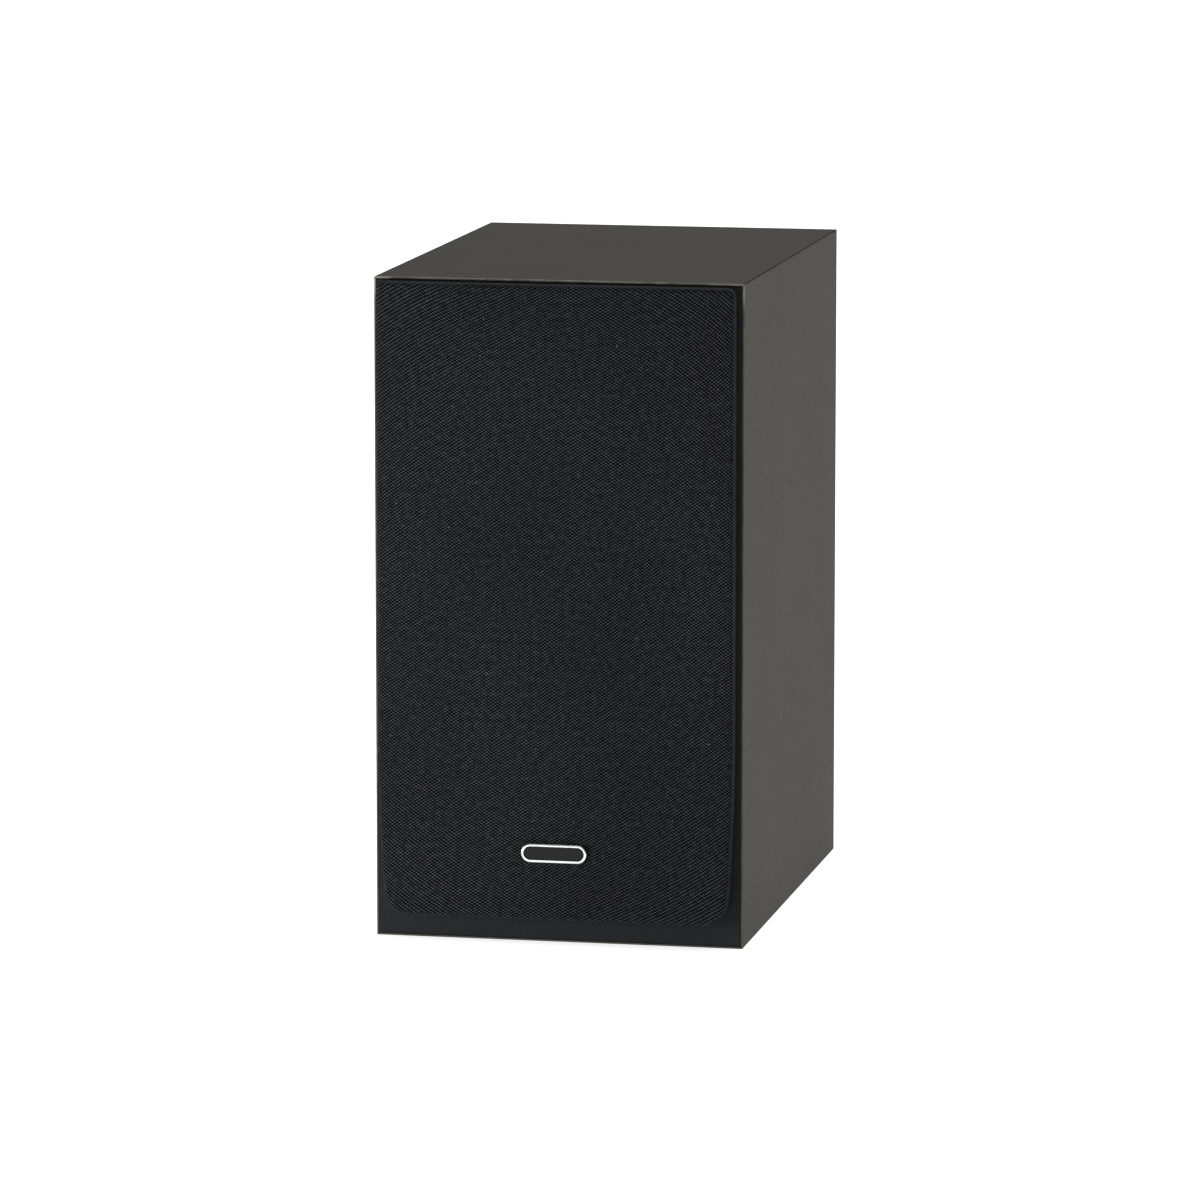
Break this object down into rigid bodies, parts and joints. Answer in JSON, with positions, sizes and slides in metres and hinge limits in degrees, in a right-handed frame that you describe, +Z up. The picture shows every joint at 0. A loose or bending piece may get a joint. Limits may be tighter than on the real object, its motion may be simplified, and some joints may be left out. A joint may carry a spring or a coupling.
{
  "type": "bookshelf speaker",
  "caption": "Two-way bass-reflex bookshelf speaker with a dark grey laminated cabinet, a black knitted pull-off grille, a plain chrome badge, a rear port and recessed binding posts.",
  "frame": {"origin": "middle of the cabinet's underside", "axes": "X across the front to the right, -Y the way the speaker faces, Z up"},
  "size_m": [0.1686, 0.2619, 0.3],
  "materials": {
    "case_vinyl": "satin",
    "baffle_vinyl": "satin",
    "raw_board": "matte",
    "wadding": "matte",
    "steel_basket": "satin",
    "black_screw_steel": "satin",
    "foam_gasket": "matte",
    "surround_rubber": "satin",
    "cone_aluminium": "satin",
    "former_film": "gloss",
    "copper_winding": "satin",
    "inductor_winding": "satin",
    "spider_cloth": "matte",
    "zinc_steel": "satin",
    "ferrite": "matte",
    "tag_board": "matte",
    "tinsel": "satin",
    "black_plastic": "satin",
    "tweeter_plate": "satin",
    "dome_aluminium": "gloss",
    "gold_plate": "polished",
    "red_plastic": "gloss",
    "circuit_board": "satin",
    "nylon": "matte",
    "capacitor_film": "gloss",
    "resistor_cement": "matte",
    "red_insulation": "satin",
    "black_insulation": "satin",
    "grille_knit": "matte",
    "socket_rubber": "matte",
    "badge_chrome": "polished"
  },
  "bodies": {
    "cabinet": {"left_side_panel": "case_vinyl", "right_side_panel": "case_vinyl", "top_panel": "case_vinyl", "bottom_panel": "case_vinyl", "front_baffle": "baffle_vinyl", "back_panel": "case_vinyl", "window_brace": "raw_board", "side_linings": "wadding", "top_lining": "wadding", "woofer_basket": "steel_basket", "woofer_gasket": "foam_gasket", "woofer_screws": "black_screw_steel", "woofer_surround": "surround_rubber", "woofer_spider": "spider_cloth", "woofer_top_plate": "zinc_steel", "woofer_magnet": "ferrite", "woofer_yoke": "zinc_steel", "woofer_terminals": "tag_board", "woofer_tinsel_leads": "tinsel", "tweeter_faceplate": "tweeter_plate", "tweeter_gasket": "foam_gasket", "tweeter_screws": "black_screw_steel", "tweeter_dome_guard": "black_plastic", "tweeter_surround": "surround_rubber", "tweeter_top_plate": "zinc_steel", "tweeter_magnet": "ferrite", "tweeter_yoke": "zinc_steel", "tweeter_rear_cup": "black_plastic", "tweeter_terminals": "tag_board", "port_tube": "black_plastic", "terminal_cup": "black_plastic", "terminal_gasket": "foam_gasket", "terminal_screws": "black_screw_steel", "red_post_shaft": "gold_plate", "black_post_shaft": "gold_plate", "post_collars": "black_plastic", "post_nuts": "gold_plate", "crossover_board": "circuit_board", "board_standoffs": "nylon", "inductor_bobbins": "nylon", "woofer_inductor": "inductor_winding", "tweeter_inductor": "inductor_winding", "capacitors": "capacitor_film", "resistors": "resistor_cement", "red_wires": "red_insulation", "black_wires": "black_insulation", "grille_sockets": "socket_rubber"},
    "grille": {"grille_cloth": "grille_knit", "grille_frame": "black_plastic", "grille_badge": "badge_chrome"},
    "woofer_diaphragm": {"woofer_cone": "cone_aluminium", "woofer_dust_cap": "cone_aluminium", "woofer_former": "former_film", "woofer_voice_coil": "copper_winding"},
    "tweeter_diaphragm": {"tweeter_dome": "dome_aluminium", "tweeter_voice_coil": "copper_winding"},
    "red_washer": {"red_post_washer": "gold_plate"},
    "black_washer": {"black_post_washer": "gold_plate"},
    "red_knob": {"red_post_knob": "red_plastic"},
    "black_knob": {"black_post_knob": "black_plastic"}
  },
  "joints": [
    {"name": "grille_pull", "type": "slide", "parent": "cabinet", "child": "grille", "axis": [0, -1, 0], "range_m": [0, 0.06]},
    {"name": "woofer_travel", "type": "slide", "parent": "cabinet", "child": "woofer_diaphragm", "axis": [0, -1, 0], "range_m": [-0.004, 0.004], "stiffness_N_per_m": 1200, "deforming": ["woofer_surround", "woofer_spider", "woofer_tinsel_leads"]},
    {"name": "tweeter_travel", "type": "slide", "parent": "cabinet", "child": "tweeter_diaphragm", "axis": [0, -1, 0], "range_m": [-0.0003, 0.0003], "stiffness_N_per_m": 1000, "deforming": ["tweeter_surround"]},
    {"name": "red_post_run_out", "type": "slide", "parent": "cabinet", "child": "red_washer", "axis": [0, 1, 0], "range_m": [0, 0.004]},
    {"name": "red_post_turn", "type": "hinge", "parent": "red_washer", "child": "red_knob", "pos_m": [0.00953, 0.1105, 0.07], "axis": [0, 1, 0], "range_deg": [0, 1800]},
    {"name": "black_post_run_out", "type": "slide", "parent": "cabinet", "child": "black_washer", "axis": [0, 1, 0], "range_m": [0, 0.004]},
    {"name": "black_post_turn", "type": "hinge", "parent": "black_washer", "child": "black_knob", "pos_m": [-0.00953, 0.1105, 0.07], "axis": [0, 1, 0], "range_deg": [0, 1800]}
  ],
  "couplings": [
    {"joint": "red_post_turn", "follows": "red_post_run_out", "rad_per_m": 7854},
    {"joint": "black_post_turn", "follows": "black_post_run_out", "rad_per_m": 7854}
  ]
}
